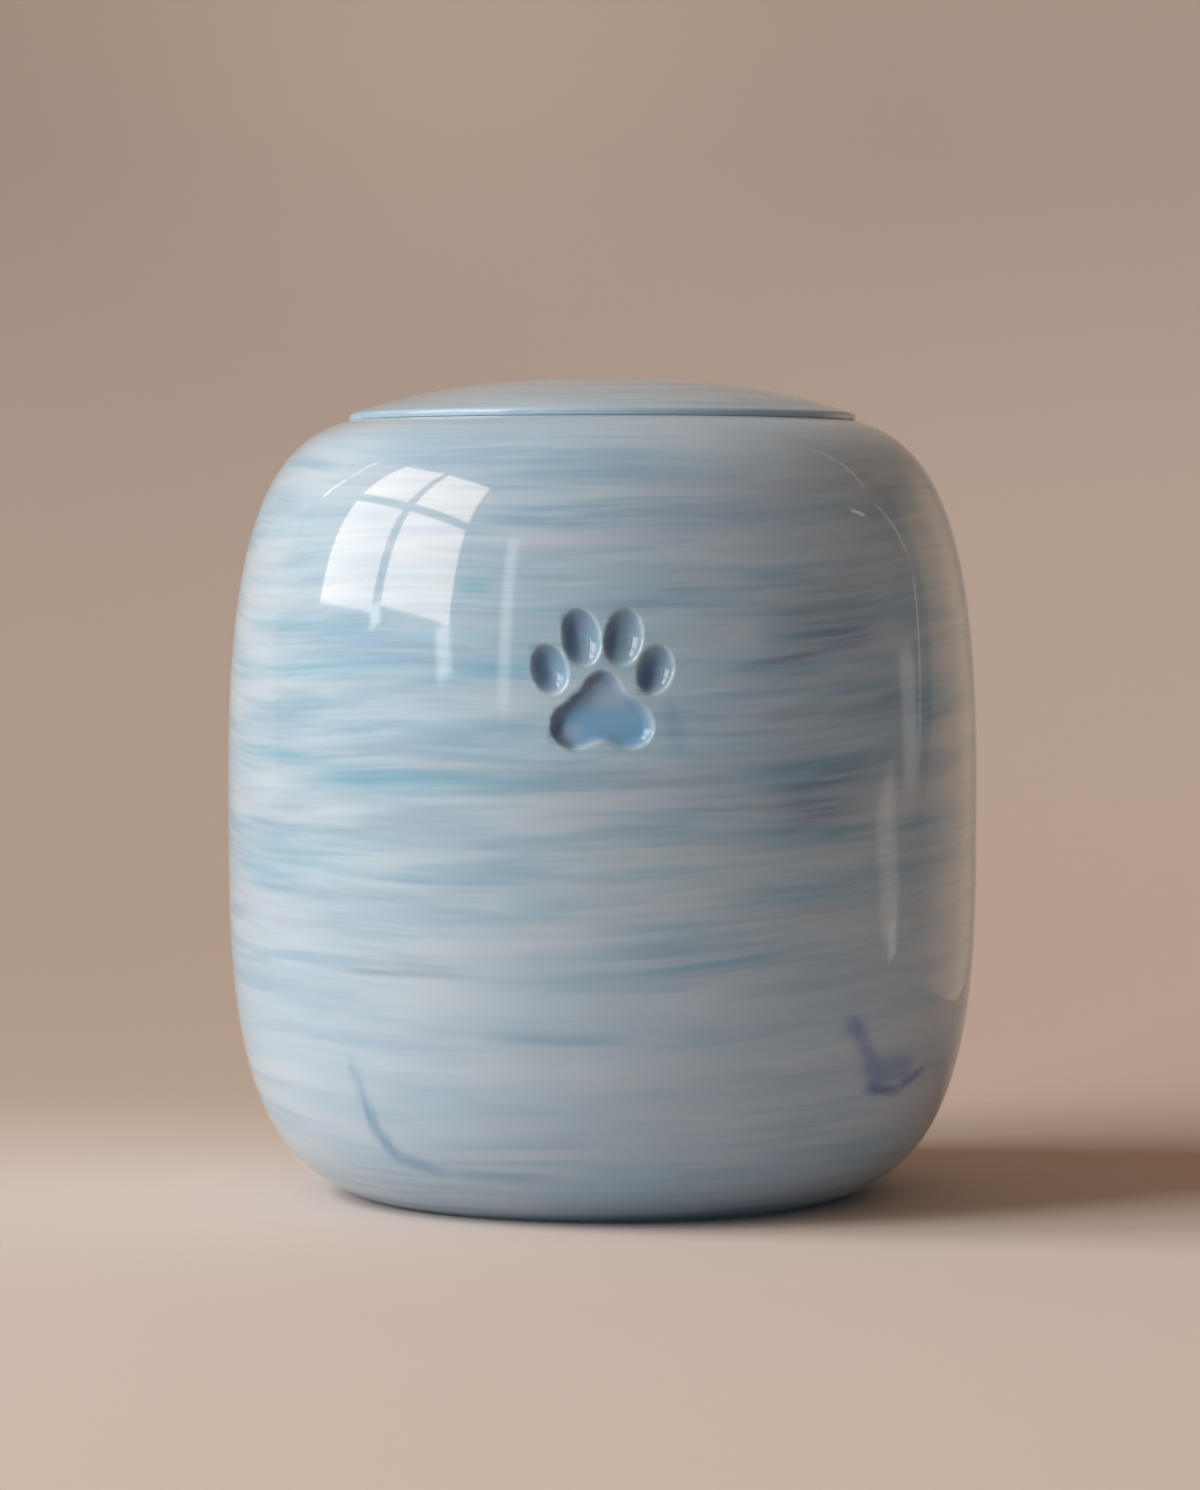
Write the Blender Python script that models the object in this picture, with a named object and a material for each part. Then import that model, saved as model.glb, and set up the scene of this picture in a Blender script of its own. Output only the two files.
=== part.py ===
"""A lidded ceramic funeral urn, turned in the round, with a paw print sunk into its front.

Metres, +Z up. The origin lies under the middle of the foot, in the plane that the urn stands on, and
the paw print faces -Y. The body and the lid are both turned from a profile that is worked out from
the driving dimensions. The print is laid out flat, as across and up from its own middle, then wrapped
onto the wall and cut out of it.
"""
from math import asin, atan2, cos, hypot, pi, radians, sin

import bmesh
import bpy
from mathutils import Matrix, Vector

# Body, as a squared oval: (radius / belly radius) ** side + (rise / reach) ** end = 1, with one reach
# and one pair of powers above the belly and another below it
BODY_DIAMETER = 0.150
BELLY_HEIGHT = 0.0797
SEAT_HEIGHT = 0.1545
SHOULDER_REACH = 0.0769
SHOULDER_SIDE = 7.06
SHOULDER_END = 2.57
BOWL_REACH = 0.0824
BOWL_SIDE = 5.14
BOWL_END = 3.28

# Hollow
WALL = 0.005
FLOOR_THICKNESS = 0.006
MOUTH_RADIUS = 0.040
MOUTH_CHAMFER = 0.0005

# Foot ring, which alone touches the ground
FOOT_INNER_RADIUS = 0.043
FOOT_RECESS = 0.0015

# Lid, whose heights are measured from the seat
LID_RADIUS = 0.0507
LID_RISE = 0.0084
LID_EDGE_RISE = 0.0014
LID_DOME_POWER = 2.59
LID_THICKNESS = 0.0042
LID_CLEARANCE = 0.0003
RIM_UPPER_ROUND = 0.0009
RIM_LOWER_ROUND = 0.0004
FLANGE_CLEARANCE = 0.0006
FLANGE_WIDTH = 0.004
FLANGE_DEPTH = 0.0075
FLANGE_CHAMFER = 0.0008

# Paw print: its middle lies at this height on the front
PRINT_HEIGHT = 0.1047
TOE_DEPTH = 0.0023
INNER_TOE = {"across": 0.00396, "up": 0.00784, "width": 0.00694, "height": 0.0105, "lean": radians(9.5)}
OUTER_TOE = {"across": 0.0099, "up": 0.0019, "width": 0.0065, "height": 0.0090, "lean": radians(14.5)}
PAD_DEPTH = 0.0020
PAD_TOP_UP = -0.0011
PAD_TOP_RADIUS = 0.0025
PAD_LOBE_ACROSS = 0.00535
PAD_LOBE_UP = -0.0086
PAD_LOBE_RADIUS = 0.0040
PAD_BLEND = 0.008
PAD_MIDDLE_UP = -0.0067

# The pad's rings, from roof to floor: how far inside its edge and out from the wall, as shares of its depth
PAD_RINGS = ((0.0, 1.0), (0.0, 0.0), (0.2, -0.5), (0.5, -0.88), (0.9, -1.0))

# Fineness
TURN_STEPS = 60
OUTER_ROWS = 13
INNER_ROWS = 6
DOME_ROWS = 7
SOFFIT_ROWS = 4
TOE_SEGMENTS = 18
TOE_RINGS = 7
PAD_SEGMENTS = 36
CREASE = radians(32)

BELLY_RADIUS = BODY_DIAMETER / 2
HOLLOW_RADIUS = BELLY_RADIUS - WALL
HOLLOW_SHOULDER_REACH = SHOULDER_REACH - WALL
HOLLOW_BOWL_REACH = BELLY_HEIGHT - FLOOR_THICKNESS
FLANGE_RADIUS = MOUTH_RADIUS - FLANGE_CLEARANCE

# Colours of the glaze, as linear red, green and blue
BODY_GLAZE = (0.29, 0.40, 0.52)
LID_GLAZE = (0.34, 0.44, 0.54)


def clear_scene():
    """Remove whatever objects the scene holds."""
    for item in list(bpy.data.objects):
        bpy.data.objects.remove(item)


def glaze(name, colour):
    """A glossy fired glaze."""
    material = bpy.data.materials.new(name)
    material.use_nodes = True
    shader = material.node_tree.nodes["Principled BSDF"]
    shader.inputs["Base Color"].default_value = (*colour, 1.0)
    shader.inputs["Roughness"].default_value = 0.12
    shader.inputs["Metallic"].default_value = 0.0
    material.diffuse_color = (*colour, 1.0)
    return material


def new_piece(name, mesh, material=None):
    """Put a mesh into the scene as a named object."""
    piece = bpy.data.objects.new(name, mesh)
    bpy.context.scene.collection.objects.link(piece)
    if material:
        mesh.materials.append(material)
    return piece


def oval_arc(radius, reach, side, end, rise, rows):
    """Points (radius, rise) of a squared oval from its widest place to the given rise."""
    last = asin((rise / reach) ** (end / 2))
    arc = []
    for row in range(rows + 1):
        angle = last * row / rows
        arc.append((radius * cos(angle) ** (2 / side), reach * sin(angle) ** (2 / end)))
    return arc


def oval_rise(radius, widest, reach, side, end):
    """How far from the widest place a squared oval has narrowed to a radius."""
    return reach * (1 - (radius / widest) ** side) ** (1 / end)


def outer_radius(height):
    """Radius of the body's outer surface at a height."""
    rise = height - BELLY_HEIGHT
    if rise > 0:
        return BELLY_RADIUS * (1 - (rise / SHOULDER_REACH) ** SHOULDER_END) ** (1 / SHOULDER_SIDE)
    return BELLY_RADIUS * (1 - (-rise / BOWL_REACH) ** BOWL_END) ** (1 / BOWL_SIDE)


def hollow_profile():
    """The inside, from the middle of the floor, up the wall and through the mouth."""
    bowl = oval_arc(HOLLOW_RADIUS, HOLLOW_BOWL_REACH, BOWL_SIDE, BOWL_END, HOLLOW_BOWL_REACH, INNER_ROWS)
    neck_rise = oval_rise(MOUTH_RADIUS, HOLLOW_RADIUS, HOLLOW_SHOULDER_REACH, SHOULDER_SIDE, SHOULDER_END)
    shoulder = oval_arc(
        HOLLOW_RADIUS, HOLLOW_SHOULDER_REACH, SHOULDER_SIDE, SHOULDER_END, neck_rise, INNER_ROWS)
    profile = [(0.0, FLOOR_THICKNESS)]
    profile += [(radius, BELLY_HEIGHT - rise) for radius, rise in reversed(bowl[:-1])]
    profile += [(radius, BELLY_HEIGHT + rise) for radius, rise in shoulder[1:]]
    profile.append((MOUTH_RADIUS, SEAT_HEIGHT - MOUTH_CHAMFER))
    profile.append((MOUTH_RADIUS + MOUTH_CHAMFER, SEAT_HEIGHT))
    return profile


def outer_profile():
    """The outside, from the edge of the seat, down the wall, under the foot and to the axis."""
    shoulder = oval_arc(
        BELLY_RADIUS, SHOULDER_REACH, SHOULDER_SIDE, SHOULDER_END, SEAT_HEIGHT - BELLY_HEIGHT, OUTER_ROWS)
    bowl = oval_arc(BELLY_RADIUS, BOWL_REACH, BOWL_SIDE, BOWL_END, BELLY_HEIGHT, OUTER_ROWS)
    profile = [(radius, BELLY_HEIGHT + rise) for radius, rise in reversed(shoulder)]
    profile += [(radius, BELLY_HEIGHT - rise) for radius, rise in bowl[1:-1]]
    profile.append((bowl[-1][0], 0.0))
    profile.append((FOOT_INNER_RADIUS, 0.0))
    profile.append((FOOT_INNER_RADIUS - FOOT_RECESS, FOOT_RECESS))
    profile.append((0.0, FOOT_RECESS))
    return profile


def dome_height(radius):
    """Height of the lid's top surface above the seat, at a radius."""
    return LID_RISE - (LID_RISE - LID_EDGE_RISE) * (radius / LID_RADIUS) ** LID_DOME_POWER


def lid_profile():
    """The lid, from the top of the dome, round the rim, past the flange and back to the axis."""
    slope = (LID_RISE - LID_EDGE_RISE) * LID_DOME_POWER / LID_RADIUS
    lean = atan2(1.0, slope)
    shoulder_radius = LID_RADIUS - RIM_UPPER_ROUND * (1 - cos(lean))
    nose_height = dome_height(shoulder_radius) - RIM_UPPER_ROUND * sin(lean)
    flange_inner = FLANGE_RADIUS - FLANGE_WIDTH
    above_seat = []
    for row in range(DOME_ROWS + 1):
        radius = shoulder_radius * row / DOME_ROWS
        above_seat.append((radius, dome_height(radius)))
    for turn in (lean / 2, 0.0):
        above_seat.append((
            LID_RADIUS - RIM_UPPER_ROUND * (1 - cos(turn)),
            nose_height + RIM_UPPER_ROUND * sin(turn)))
    above_seat += [
        (
            LID_RADIUS - RIM_LOWER_ROUND * (1 - cos(pi / 4)),
            LID_CLEARANCE + RIM_LOWER_ROUND * (1 - sin(pi / 4))),
        (LID_RADIUS - RIM_LOWER_ROUND, LID_CLEARANCE),
        (FLANGE_RADIUS, LID_CLEARANCE),
        (FLANGE_RADIUS, FLANGE_CHAMFER - FLANGE_DEPTH),
        (FLANGE_RADIUS - FLANGE_CHAMFER, -FLANGE_DEPTH),
        (flange_inner, -FLANGE_DEPTH)]
    for row in range(SOFFIT_ROWS + 1):
        radius = flange_inner * (1 - row / SOFFIT_ROWS)
        above_seat.append((radius, dome_height(radius) - LID_THICKNESS))
    return [(radius, SEAT_HEIGHT + rise) for radius, rise in above_seat]


def turn(name, profile, material):
    """Spin a profile of (radius, height) pairs, which starts and ends on the axis, into a solid."""
    bm = bmesh.new()
    points = [bm.verts.new((radius, 0.0, height)) for radius, height in profile]
    edges = [bm.edges.new(pair) for pair in zip(points, points[1:])]
    bmesh.ops.spin(
        bm, geom=points + edges, cent=(0, 0, 0), axis=(0, 0, 1), angle=2 * pi,
        steps=TURN_STEPS, use_merge=True, use_duplicate=False)
    bmesh.ops.remove_doubles(bm, verts=bm.verts, dist=1e-6)
    bmesh.ops.recalc_face_normals(bm, faces=bm.faces)
    mesh = bpy.data.meshes.new(name)
    bm.to_mesh(mesh)
    bm.free()
    mesh.shade_smooth()
    mesh.set_sharp_from_angle(angle=CREASE)
    return new_piece(name, mesh, material)


def on_wall(across, up, out):
    """The place that lies across and up from the middle of the print, and out from the wall."""
    height = PRINT_HEIGHT + up
    angle = across / outer_radius(PRINT_HEIGHT)
    radius = outer_radius(height) + out
    return Vector((radius * sin(angle), -radius * cos(angle), height))


def add_toe(bm, toe, side):
    """One toe of the print, an egg-shaped hollow that leans away from the middle."""
    place = Matrix.Translation((side * toe["across"], toe["up"], 0.0))
    lean = Matrix.Rotation(-side * toe["lean"], 4, 'Z')
    shape = Matrix.Diagonal((toe["width"] / 2, toe["height"] / 2, TOE_DEPTH, 1.0))
    ball = bmesh.ops.create_uvsphere(
        bm, u_segments=TOE_SEGMENTS, v_segments=TOE_RINGS, radius=1.0, matrix=place @ lean @ shape)
    for vert in ball["verts"]:
        vert.co = on_wall(*vert.co)


def pad_distance(across, up):
    """Distance to the edge of the pad, less than nothing inside it: three discs that melt together."""
    def melt(first, second):
        near = max(PAD_BLEND - abs(first - second), 0.0) / PAD_BLEND
        return min(first, second) - near * near * PAD_BLEND / 4
    top = hypot(across, up - PAD_TOP_UP) - PAD_TOP_RADIUS
    left = hypot(across + PAD_LOBE_ACROSS, up - PAD_LOBE_UP) - PAD_LOBE_RADIUS
    right = hypot(across - PAD_LOBE_ACROSS, up - PAD_LOBE_UP) - PAD_LOBE_RADIUS
    return melt(melt(top, left), right)


def pad_outline():
    """Points across and up along the pad's edge, found outwards from its middle."""
    outline = []
    for segment in range(PAD_SEGMENTS):
        angle = 2 * pi * segment / PAD_SEGMENTS
        near, far = 0.0, PAD_LOBE_ACROSS + 2 * PAD_LOBE_RADIUS
        while far - near > 1e-6:
            middle = (near + far) / 2
            if pad_distance(middle * cos(angle), PAD_MIDDLE_UP + middle * sin(angle)) < 0:
                near = middle
            else:
                far = middle
        outline.append(Vector((near * cos(angle), PAD_MIDDLE_UP + near * sin(angle))))
    return outline


def pad_ring(bm, outline, inset, out):
    """A ring of points round the pad, this far inside its edge and this far out from the wall."""
    ring = []
    for segment, point in enumerate(outline):
        along = outline[(segment + 1) % PAD_SEGMENTS] - outline[segment - 1]
        inwards = Vector((-along.y, along.x)).normalized()
        place = point + inwards * inset
        ring.append(bm.verts.new(on_wall(place.x, place.y, out)))
    return ring


def add_pad(bm):
    """The pad of the print, a flat-floored hollow with sloping sides."""
    outline = pad_outline()
    rings = [pad_ring(bm, outline, inset * PAD_DEPTH, out * PAD_DEPTH) for inset, out in PAD_RINGS]
    for upper, lower in zip(rings, rings[1:]):
        for here in range(PAD_SEGMENTS):
            after = (here + 1) % PAD_SEGMENTS
            bm.faces.new((upper[here], lower[here], lower[after], upper[after]))
    roof = bm.verts.new(on_wall(0.0, PAD_MIDDLE_UP, PAD_DEPTH))
    floor = bm.verts.new(on_wall(0.0, PAD_MIDDLE_UP, -PAD_DEPTH))
    for here in range(PAD_SEGMENTS):
        after = (here + 1) % PAD_SEGMENTS
        bm.faces.new((roof, rings[0][here], rings[0][after]))
        bm.faces.new((floor, rings[-1][after], rings[-1][here]))


def make_print_cutter():
    """The paw print as a cutter: four toes and a pad, wrapped onto the wall."""
    bm = bmesh.new()
    for side in (-1, 1):
        add_toe(bm, INNER_TOE, side)
        add_toe(bm, OUTER_TOE, side)
    add_pad(bm)
    mesh = bpy.data.meshes.new("print_cutter")
    bm.to_mesh(mesh)
    bm.free()
    cutter = new_piece("print_cutter", mesh)
    cutter.hide_render = True
    cutter.display_type = 'WIRE'
    return cutter


def make_body():
    """The hollow vessel, with the paw print cut into its front."""
    body = turn("urn_body", hollow_profile() + outer_profile(), glaze("body_glaze", BODY_GLAZE))
    cut = body.modifiers.new("Paw print", 'BOOLEAN')
    cut.operation = 'DIFFERENCE'
    cut.solver = 'EXACT'
    cut.object = make_print_cutter()
    return body


def make_lid():
    """The low domed lid, which bears on the seat and is kept in place by a flange in the mouth."""
    return turn("lid", lid_profile(), glaze("lid_glaze", LID_GLAZE))


def main():
    """Build the urn."""
    clear_scene()
    make_body()
    make_lid()


main()
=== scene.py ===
"""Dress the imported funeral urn: its glazed body with the sunk paw print, its lid, and a window-lit stage.

Laid out as a Blender add-on and run as a script. Metres, +Z up, the urn standing at the origin with its
paw print towards -Y. Places on the wall are given as across (round the wall, to the viewer's right) and
up, both from the middle of the print.
"""
from math import asin, atan2, cos, degrees, pi, radians, sin
from random import Random

import bpy
import numpy as np
from bpy.props import FloatProperty, FloatVectorProperty, PointerProperty
from bpy.types import Operator, Panel, PropertyGroup
from mathutils import Matrix, Vector


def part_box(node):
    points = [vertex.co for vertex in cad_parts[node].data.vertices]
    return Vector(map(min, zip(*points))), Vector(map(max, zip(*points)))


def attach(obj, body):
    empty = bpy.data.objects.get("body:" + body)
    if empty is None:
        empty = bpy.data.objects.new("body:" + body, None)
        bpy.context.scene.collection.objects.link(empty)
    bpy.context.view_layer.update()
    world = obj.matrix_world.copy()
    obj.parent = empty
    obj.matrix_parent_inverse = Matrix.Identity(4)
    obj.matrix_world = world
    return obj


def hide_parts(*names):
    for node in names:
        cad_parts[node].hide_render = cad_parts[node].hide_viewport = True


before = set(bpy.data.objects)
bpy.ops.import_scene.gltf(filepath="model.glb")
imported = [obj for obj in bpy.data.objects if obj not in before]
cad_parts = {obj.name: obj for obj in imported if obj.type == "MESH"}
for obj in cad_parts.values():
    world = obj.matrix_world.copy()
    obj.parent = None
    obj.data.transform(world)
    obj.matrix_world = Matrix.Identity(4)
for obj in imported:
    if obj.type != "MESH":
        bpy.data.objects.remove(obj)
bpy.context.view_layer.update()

bl_info = {
    "name": "Glazed funeral urn",
    "version": (1, 0, 0),
    "blender": (4, 5, 0),
    "location": "3D View > Sidebar > Urn",
    "description": "Builds a glazed funeral urn with a sunk paw print, and a window-lit stage round it",
    "category": "Object",
}

MM = 0.001

# Sizes that the frame settles
BELLY_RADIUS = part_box("urn_body")[1].x
SEAT_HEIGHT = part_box("urn_body")[1].z
LID_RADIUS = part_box("lid")[1].x
LID_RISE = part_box("lid")[1].z - SEAT_HEIGHT

# The body's squared oval: (radius / belly radius) ** side + (rise / reach) ** end = 1
BELLY_HEIGHT = 79.7 * MM
SHOULDER = {"reach": 76.9 * MM, "side": 7.06, "end": 2.57}
BOWL = {"reach": 82.4 * MM, "side": 5.14, "end": 3.28}
FOOT_INNER_RADIUS = 43 * MM
FOOT_RECESS = 1.5 * MM
FOOT_ROUND = 0.4 * MM
MOUTH_ROUND = 0.5 * MM

# The paw print, as half widths and half heights round its middle
INNER_TOE = {
    "across": 3.96 * MM, "up": 7.84 * MM, "wide": 3.47 * MM, "tall": 5.25 * MM, "lean": radians(9.5)}
OUTER_TOE = {
    "across": 9.90 * MM, "up": 1.90 * MM, "wide": 3.25 * MM, "tall": 4.50 * MM, "lean": radians(14.5)}
PAD_TOP = {"up": -1.1 * MM, "radius": 2.5 * MM}
PAD_LOBE = {"across": 5.35 * MM, "up": -8.6 * MM, "radius": 4.0 * MM}
PAD_BLEND = 8 * MM
PAD_MIDDLE_UP = -6.7 * MM
PAD_REACH = 13 * MM
PRINT_REACH = 15 * MM

# Fineness of the meshes
PRINT_CELL = 0.3 * MM
FRONT_COLUMNS = 52
BACK_COLUMNS = 48
ARC_ROWS = 40
WALL_ROW = 0.75 * MM
CLOSEST_ROWS = 0.35 * MM
HOLLOW_ROWS = 14
PAD_POINTS = 96
PAD_HALVINGS = 24
LID_COLUMNS = 180
DOME_ROWS = 80
SOFFIT_ROWS = 10
ROUND_ROWS = 6

# The window, seen from the urn: its middle's bearing to the left of straight ahead, its distance and the
# height that it is measured up from. Its edges and bars are shares of its distance
WINDOW_BEARING = radians(72.9)
WINDOW_DISTANCE = 2.2
WINDOW_BASE = 130 * MM
WINDOW_HALF_WIDTH = 0.477
WINDOW_TOP = 1.21
WINDOW_FEET = (0.20, 0.178)
UPRIGHT_BAR = (-0.006, 0.046)
CROSS_BAR = (0.636, 0.697)

# Gleams that show only in the glaze. Each runs between two places, given as bearing in degrees to the left
# of straight ahead, distance and height in metres, with its width, radiance and colour
GLEAMS = (
    ("curtain gap", (28.9, 1.5, 0.100), (29.5, 1.5, 1.020), 0.15, 4.0, "cool_gleam"),
    ("right pane tail", (47.6, 2.2, 0.270), (49.9, 2.2, 0.560), 0.28, 6.0, "cool_gleam"),
    ("left pane tail", (73.3, 2.2, 0.450), (74.5, 2.2, 0.600), 0.22, 7.0, "cool_gleam"),
    ("door edge", (-96.0, 0.3, 0.066), (-94.8, 0.3, 0.138), 0.056, 1.0, "warm_gleam"),
    ("far floor", (-88.2, 0.3, 0.020), (-83.0, 0.3, 0.080), 0.060, 1.1, "warm_gleam"),
    ("near floor", (-88.7, 0.3, 0.013), (-87.4, 0.3, 0.030), 0.030, 1.5, "warm_gleam"),
    ("lit wall", (-124.0, 0.285, -0.10), (-124.0, 0.285, 0.26), 0.26, 0.42, "brown_gleam"),
    ("glint", (-94.3, 1.0, 0.633), (-100.0, 1.0, 0.564), 0.030, 3.0, "cool_gleam"),
    ("blind edge", (116.2, 1.5, 0.79), (112.3, 1.5, 1.133), 0.036, 6.0, "cool_gleam"),
    ("blind top", (112.3, 1.5, 1.133), (113.3, 1.5, 1.628), 0.036, 5.0, "cool_gleam"),
    ("paper edge", (-108.0, 1.0, 0.04), (-114.0, 1.0, 0.33), 0.020, 1.2, "warm_gleam"),
    ("paper corner", (-114.0, 1.0, 0.33), (-107.5, 1.0, 0.62), 0.022, 1.2, "warm_gleam"),
    ("paper top", (-107.5, 1.0, 0.62), (-126.0, 1.0, 1.30), 0.030, 1.2, "warm_gleam"),
)

# Where a gleam's glow and a pane's start to fade, as shares of their half widths and half lengths
GLEAM_SHARPNESS = (0.24, 0.60)
PANE_SHARPNESS = (0.97, 0.97)

# The floor, and the paper sweep behind the urn
SWEEP_HALF_WIDTH = 0.75
SWEEP_START = 0.16
SWEEP_BEND = 0.24
SWEEP_TOP = 0.72
SWEEP_ROWS = 24
FLOOR_REACH = 6.0
PAPER_ROUGHNESS = 0.9

# Where the paper's colour changes, in metres: from left to right, with painted shade on the left, from the
# floor to the back and from low to the top, and the patch of painted light above the urn by its middle, its
# reach to each side and its heights
LEFT_TO_RIGHT = (-0.24, 0.24)
FLOOR_TO_BACK = (-0.03, 0.30)
LOW_TO_TOP = (0.05, 0.5)
LIGHT_PATCH_MIDDLE = -0.05
LIGHT_PATCH_REACH = 0.14
LIGHT_PATCH_HEIGHTS = (0.17, 0.26)

# The room's light by direction, as parts of a unit vector: the heights between which it turns warm and
# those between which the light from the front fades out, and how close to the front that light comes in.
# The front's bearing is to the left of straight ahead
HIGH_ROOM = (0.05, 0.9)
LOW_ROOM = (0.0, 0.38)
FRONT_ROOM = (0.0, 0.95)
FRONT_BEARING = radians(25)

# The camera: its lens in millimetres, and its place across
LENS = 120.9
CAMERA_ASIDE = -0.5 * MM

# The glaze's patterns: patches to the metre, round the piece and along its profile
STRAY_PATCHES = (20.0, 30.0)
WASH_PATCHES = (18.0, 80.0)
BLUE_PATCHES = (22.0, 240.0)
STREAK_PATCHES = (42.0, 760.0)
RIPPLE_PATCHES = (70.0, 110.0)
SPECK_PATCHES = (900.0, 900.0)

# The noise between which each pattern comes in, and how much of it there is below and above that
WASH_RANGE = (0.36, 0.64)
BLUE_RANGE = (0.46, 0.70, 0.0, 0.5)
COVER_RANGE = (0.34, 0.64, 1.25, 0.65)
LINING_RANGE = (0.3, 0.7, 0.85, 1.0)
CLAY_RANGE = (0.45, 0.75, 0.0, 0.35)

# How strong the streaks are where the wash is pale and where it is full, and what scales the waviness
STREAK_DEPTHS = (0.24, 0.50)
STRAY_STRENGTH = 5.0

CLAY_SPECK = (0.30, 0.24, 0.19)
CLAY_ROUGHNESS = 0.85
BLACK = (0.0, 0.0, 0.0)

# How far the print has sunk where deeper glaze starts and is full: in the toes, and on the pad's floor
TOE_POOL = (0.10, 0.60)
PAD_POOL = (0.3, 0.8)

# How deep the print has sunk, or how strong a drawn mark is, where streaks no longer break the strokes
UNSTREAKED_FROM = 0.2

# Which points are bare clay: this far below the top of the seat, up to this share of the foot's rounding,
# and this far above the lid's bearing
SEAT_MARGIN = 0.1 * MM
FOOT_SHARE = 0.9
BEARING_MARGIN = 0.05 * MM

# Where a brush stroke has faded out, and over how much of it, as shares of its half length and half width
STROKE_END = 1.3
STROKE_END_FADE = 1.0
STROKE_SIDE = 1.5
STROKE_SIDE_FADE = 1.2

# Brush strokes on the front, in millimetres and degrees: across, up, half length, half width, lean,
# colour and strength. Later rows lie over earlier ones
STROKES_AND_PAINTED_LIGHT = (
    # Painted light: this first row is a paler, cooler band round the upward-facing shoulder, where the warm
    # light from above falls
    (0.0, 47.0, 400.0, 7.0, 0.0, "lid_pale_and_cool_light", 0.50),
    (0.0, -80.0, 400.0, 24.0, 0.0, "mist", 0.30),
    # Partly painted light: this broad blue wash over the upper body is partly the glaze's blue and partly
    # stands in for cooler light there
    (-14.0, 36.0, 42.0, 11.0, -2.0, "blue", 0.20),
    (28.0, 33.0, 26.0, 8.0, 0.0, "lilac", 0.30),
    (30.0, -98.0, 60.0, 3.0, 1.0, "blue", 0.20),
    (-20.0, -88.0, 22.0, 1.2, 1.0, "blue", 0.25),
    (48.0, -84.0, 16.0, 1.4, 3.0, "blue", 0.30),
    (-85.4, 41.1, 16.3, 1.6, -2.8, "blue", 0.45),
    (-12.4, 41.8, 35.2, 3.6, -1.7, "blue", 0.30),
    (2.8, 30.9, 30.5, 3.4, -0.7, "blue", 0.45),
    (-7.7, 24.8, 17.1, 2.2, -0.9, "lilac", 0.35),
    (-25.2, 16.9, 3.2, 1.4, 4.1, "teal", 0.50),
    (-74.4, 9.7, 19.9, 1.2, -1.0, "teal", 0.32),
    (-67.7, 1.5, 32.9, 1.9, -0.3, "teal", 0.42),
    (-25.0, 1.2, 15.0, 1.4, 6.0, "teal", 0.35),
    (-23.8, -9.9, 15.9, 2.6, 5.7, "blue", 0.35),
    (-70.0, -15.5, 24.0, 1.6, -3.0, "teal", 0.45),
    (-34.0, -19.3, 32.2, 2.4, 0.4, "teal", 0.50),
    (-66.1, -34.5, 26.1, 3.8, 0.1, "teal", 0.28),
    (-34.9, -36.0, 9.7, 1.1, 4.4, "teal", 0.45),
    (-16.0, -44.1, 15.5, 1.4, 2.3, "teal", 0.25),
    (-39.3, -55.5, 15.8, 0.7, 0.3, "ink", 0.30),
    (6.7, -54.7, 30.2, 1.2, 2.8, "blue", 0.30),
    (-7.8, -67.2, 14.9, 1.4, -0.2, "blue", 0.45),
    (36.5, 18.3, 10.5, 1.4, 3.2, "teal", 0.40),
    (35.4, 3.6, 10.1, 0.7, 8.5, "ink", 0.45),
    (39.0, 8.5, 9.0, 3.0, 5.6, "teal", 0.45),
    (49.9, 7.9, 7.0, 2.6, 5.6, "indigo", 0.35),
    (39.2, -6.1, 9.7, 1.2, 7.8, "ink", 0.30),
    (56.2, -5.0, 10.5, 1.5, 7.7, "ink", 0.30),
    (79.9, -7.2, 6.7, 0.9, 7.1, "indigo", 0.50),
    (39.8, -17.5, 14.0, 3.0, 6.0, "teal", 0.40),
    (41.8, -22.5, 8.8, 4.0, 5.5, "indigo", 0.30),
    (41.3, -29.6, 17.6, 2.2, 3.4, "teal", 0.45),
    (38.5, -41.3, 20.2, 1.4, 2.1, "teal", 0.30),
    (23.0, -53.0, 16.1, 1.1, 7.0, "teal", 0.40),
    (13.4, -8.6, 5.4, 1.7, -78.0, "blue", 0.45),
    # Partly painted shade: these two broad ink patches darken the right side, which turns from the window,
    # more than its teal strokes alone
    (46.0, 12.0, 15.0, 7.0, 5.0, "ink", 0.28),
    (45.0, -22.0, 15.0, 8.0, 5.0, "ink", 0.30),
    (49.6, -90.7, 18.7, 1.4, 2.2, "blue", 0.25),
    (-77.6, -45.0, 20.3, 2.4, -8.9, "lilac", 0.30),
)

# The blue and indigo marks drawn low on the front, which no streak breaks
DRAWN_MARKS = (
    (-53.6, -76.0, 4.2, 1.2, -81.2, "blue", 0.60),
    (-52.1, -83.1, 4.6, 1.8, -77.6, "blue", 0.85),
    (-49.5, -89.3, 4.2, 1.9, -56.9, "blue", 0.85),
    (-42.3, -93.1, 6.4, 1.5, -12.8, "blue", 0.65),
    (-23.8, -94.5, 14.2, 1.3, -0.9, "blue", 0.50),
    (53.4, -66.3, 3.6, 2.0, -16.8, "indigo", 0.60),
    (56.6, -70.2, 4.6, 2.0, -47.5, "indigo", 0.50),
    (60.9, -75.7, 5.0, 2.8, -41.8, "indigo", 0.60),
    (68.0, -75.6, 7.4, 3.0, -2.6, "indigo", 0.55),
    (64.7, -79.5, 6.8, 1.1, -7.8, "indigo", 0.90),
    (75.0, -78.0, 5.8, 1.0, 19.8, "indigo", 0.85),
)
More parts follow.
